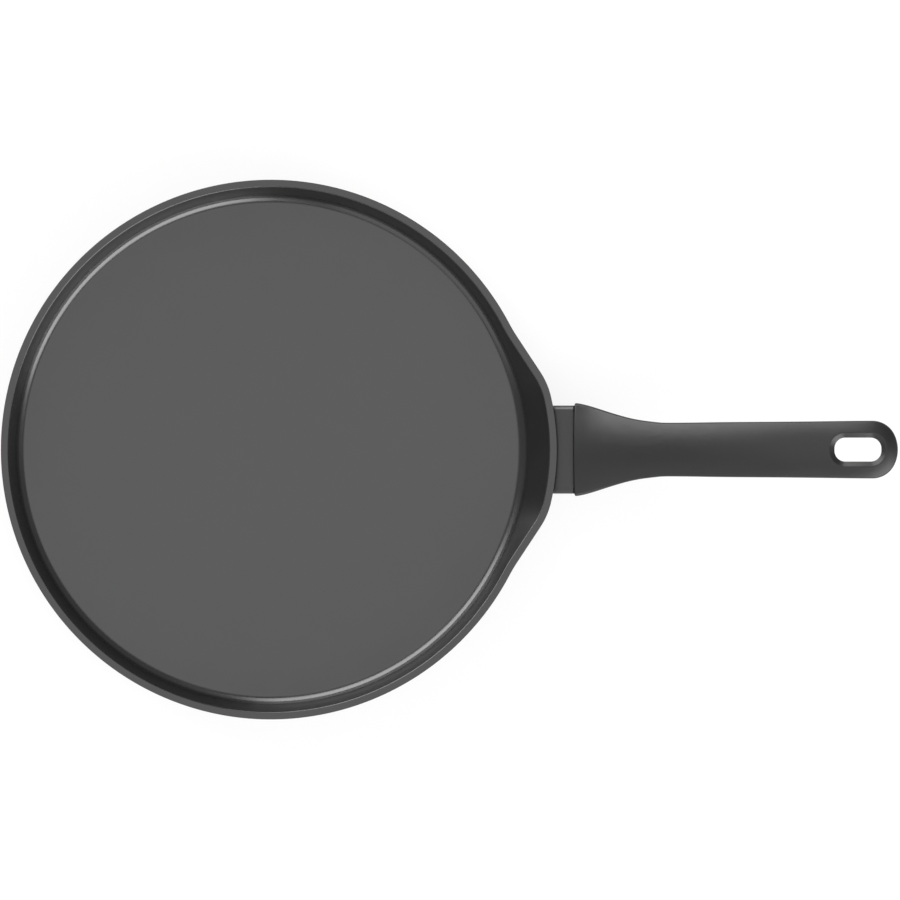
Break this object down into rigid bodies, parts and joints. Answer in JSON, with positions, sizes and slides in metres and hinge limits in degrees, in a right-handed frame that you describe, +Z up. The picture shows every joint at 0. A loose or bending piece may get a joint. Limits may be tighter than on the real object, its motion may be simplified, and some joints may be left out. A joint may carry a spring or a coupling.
{
  "type": "crepe pan",
  "caption": "Low round non-stick crepe pan with a flat floor, a rim that runs out into a lobe towards the handle, and one long moulded handle with a hanging slot.",
  "frame": {"origin": "middle of the underside, on the surface that the pan stands on", "axes": "+Z up, +X along the handle, the XZ plane halves the pan"},
  "size_m": [0.4442, 0.2674, 0.0572],
  "materials": {
    "coated_casting": "dark grey matt non-stick coat with a fine speckle on cast aluminium; bare turned metal round the base plate",
    "base_steel": "brushed magnetic stainless steel",
    "guard_metal": "satin dark grey coat on sheet metal",
    "handle_moulding": "soft satin black moulding",
    "fixing_steel": "plain zinc-plated steel"
  },
  "bodies": {
    "root": {"pan_body": "coated_casting", "base_plate": "base_steel", "flame_guard": "guard_metal", "handle": "handle_moulding", "handle_screw": "fixing_steel", "spring_washer": "fixing_steel", "flat_washer": "fixing_steel", "thread_insert": "fixing_steel"}
  },
  "joints": []
}
